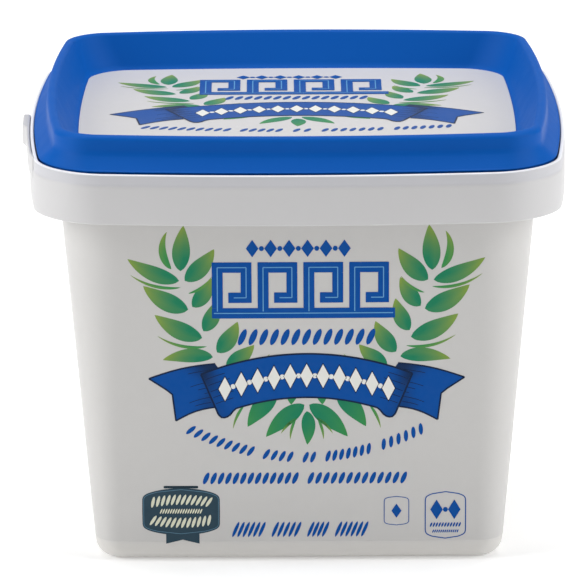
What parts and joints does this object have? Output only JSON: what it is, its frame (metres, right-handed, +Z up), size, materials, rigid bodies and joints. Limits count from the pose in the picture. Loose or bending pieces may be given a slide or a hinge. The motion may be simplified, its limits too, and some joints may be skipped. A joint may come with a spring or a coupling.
{
  "type": "lidded food tub",
  "caption": "Shut tapered squarish food tub with a deep hanging collar, a snap-in lid with a raised ridge round a sunk label panel, and a tear tab on one side.",
  "frame": {"origin": "middle of the flat base the tub stands on", "axes": "+Z up, -Y towards the front face with the main print, +X to the right seen from the front"},
  "size_m": [0.1115, 0.11, 0.0908],
  "materials": {
    "white_plastic": null,
    "blue_plastic": "moulded blue polypropylene, satin",
    "label_film": null
  },
  "bodies": {
    "root": {"tub": "white_plastic", "lid": "blue_plastic", "lid_label": "label_film"}
  },
  "joints": []
}
